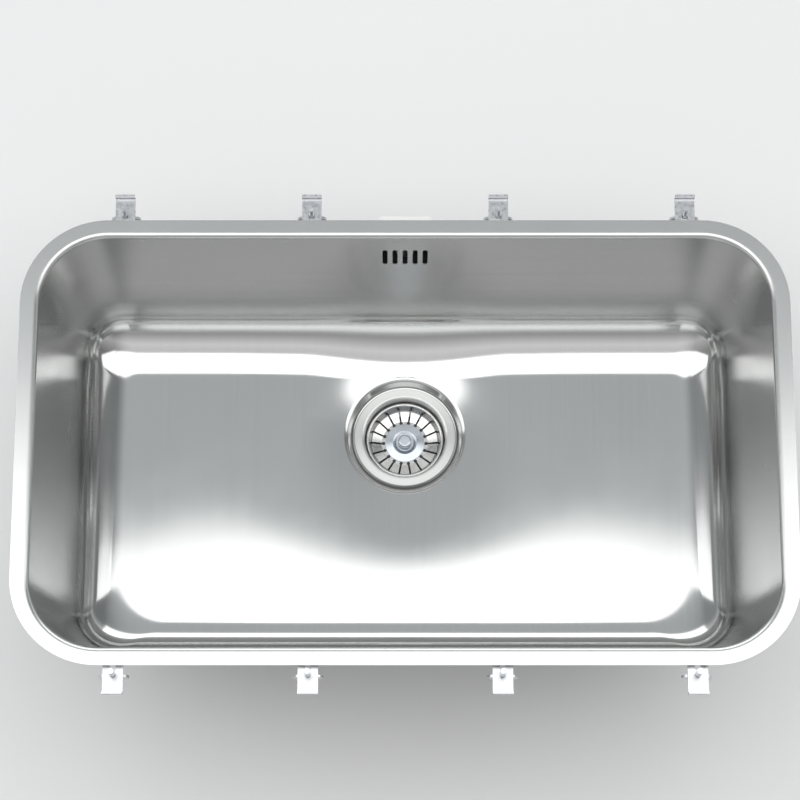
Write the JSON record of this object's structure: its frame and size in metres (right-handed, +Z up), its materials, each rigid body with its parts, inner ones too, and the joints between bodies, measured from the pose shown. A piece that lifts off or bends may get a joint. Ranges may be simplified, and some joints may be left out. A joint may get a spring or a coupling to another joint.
{
  "type": "kitchen sink",
  "caption": "Undermount stainless steel kitchen sink: a deep rounded bowl with a lift-out basket strainer waste, an overflow with its pipe, and sliding fixing clips.",
  "frame": {"origin": "centre of the bowl's opening in the plane of the flange's top face, which is the worktop's underside", "axes": "+X along the sink to the right, +Y from the front to the back wall with the overflow, +Z up"},
  "size_m": [0.776, 0.516, 0.3144],
  "materials": {
    "satin_stainless": "satin pressed stainless steel",
    "polished_stainless": "polished stainless steel",
    "chrome": "satin chrome plate",
    "brass": "turned brass",
    "white_plastic": "moulded polypropylene",
    "seal_rubber": "moulded rubber",
    "damping_rubber": "sound-deadening sheet",
    "zinc_steel": "bright zinc plate"
  },
  "bodies": {
    "sink": {"bowl": "satin_stainless", "clip_studs": "zinc_steel", "clip_washers": "zinc_steel", "clip_wing_nuts": "zinc_steel", "overflow_collector": "white_plastic", "overflow_gasket": "seal_rubber", "overflow_lower_nut": "white_plastic", "overflow_lower_seal": "seal_rubber", "overflow_nuts": "zinc_steel", "overflow_pipe": "white_plastic", "overflow_studs": "zinc_steel", "overflow_upper_nut": "white_plastic", "overflow_upper_seal": "seal_rubber", "pad_back_left": "damping_rubber", "pad_back_right": "damping_rubber", "pad_floor_left": "damping_rubber", "pad_floor_right": "damping_rubber", "pad_front": "damping_rubber", "pad_left": "damping_rubber", "pad_right": "damping_rubber", "waste_body": "white_plastic", "waste_bottom_gasket": "seal_rubber", "waste_cup": "polished_stainless", "waste_insert": "brass", "waste_screw": "polished_stainless", "waste_tailpiece": "white_plastic", "waste_top_gasket": "seal_rubber"},
    "strainer_sleeve": {"strainer_guide": "white_plastic"},
    "strainer": {"strainer_basket": "polished_stainless", "strainer_seal": "seal_rubber", "strainer_knob": "chrome", "strainer_stem": "polished_stainless"},
    "back_clip_1": {"clip_back_1": "zinc_steel"},
    "back_clip_2": {"clip_back_2": "zinc_steel"},
    "back_clip_3": {"clip_back_3": "zinc_steel"},
    "back_clip_4": {"clip_back_4": "zinc_steel"},
    "front_clip_1": {"clip_front_1": "zinc_steel"},
    "front_clip_2": {"clip_front_2": "zinc_steel"},
    "front_clip_3": {"clip_front_3": "zinc_steel"},
    "front_clip_4": {"clip_front_4": "zinc_steel"}
  },
  "joints": [
    {"name": "strainer_lift", "type": "slide", "parent": "sink", "child": "strainer_sleeve", "axis": [0, 0, 1], "range_m": [0, 0.26]},
    {"name": "strainer_turn", "type": "hinge", "parent": "strainer_sleeve", "child": "strainer", "pos_m": [0, 0.062, -0.235], "axis": [0, 0, 1], "continuous": true},
    {"name": "back_clip_1_slide", "type": "slide", "parent": "sink", "child": "back_clip_1", "axis": [0, 1, 0], "range_m": [0, 0.0115]},
    {"name": "back_clip_2_slide", "type": "slide", "parent": "sink", "child": "back_clip_2", "axis": [0, 1, 0], "range_m": [0, 0.0115]},
    {"name": "back_clip_3_slide", "type": "slide", "parent": "sink", "child": "back_clip_3", "axis": [0, 1, 0], "range_m": [0, 0.0115]},
    {"name": "back_clip_4_slide", "type": "slide", "parent": "sink", "child": "back_clip_4", "axis": [0, 1, 0], "range_m": [0, 0.0115]},
    {"name": "front_clip_1_slide", "type": "slide", "parent": "sink", "child": "front_clip_1", "axis": [0, -1, 0], "range_m": [0, 0.0115]},
    {"name": "front_clip_2_slide", "type": "slide", "parent": "sink", "child": "front_clip_2", "axis": [0, -1, 0], "range_m": [0, 0.0115]},
    {"name": "front_clip_3_slide", "type": "slide", "parent": "sink", "child": "front_clip_3", "axis": [0, -1, 0], "range_m": [0, 0.0115]},
    {"name": "front_clip_4_slide", "type": "slide", "parent": "sink", "child": "front_clip_4", "axis": [0, -1, 0], "range_m": [0, 0.0115]}
  ]
}
